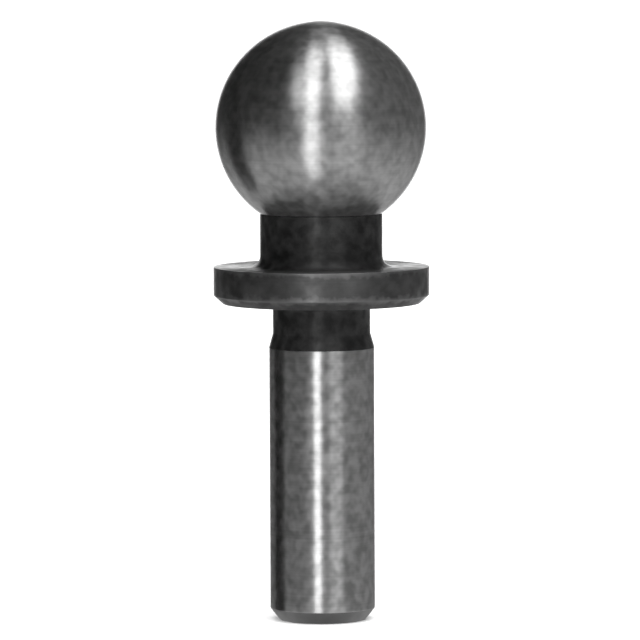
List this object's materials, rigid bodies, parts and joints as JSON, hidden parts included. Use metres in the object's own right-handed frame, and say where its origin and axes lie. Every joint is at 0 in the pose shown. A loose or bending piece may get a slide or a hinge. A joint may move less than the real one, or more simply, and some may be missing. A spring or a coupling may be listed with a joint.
{
  "type": "tooling ball",
  "caption": "Shoulder-type tooling ball: a bright ground ball bonded on a blacked neck and shoulder, with a ground shank that presses into a bored jig.",
  "frame": {"origin": "on the common axis, in the seating face: the underside of the shoulder", "axes": "+Z along the axis, from the shank towards the ball; X and Y across it, +X towards the spigot's vent flat"},
  "size_m": [0.013, 0.013, 0.036],
  "materials": {
    "lapped_ball_steel": "hardened bearing steel, ground and lapped bright",
    "blacked_stem_steel": "hardened steel, black oxide, with the shank ground bright after blacking",
    "cured_compound": "cured anaerobic retaining compound"
  },
  "bodies": {
    "root": {"ball": "lapped_ball_steel", "stem": "blacked_stem_steel", "retaining_compound": "cured_compound"}
  },
  "joints": []
}
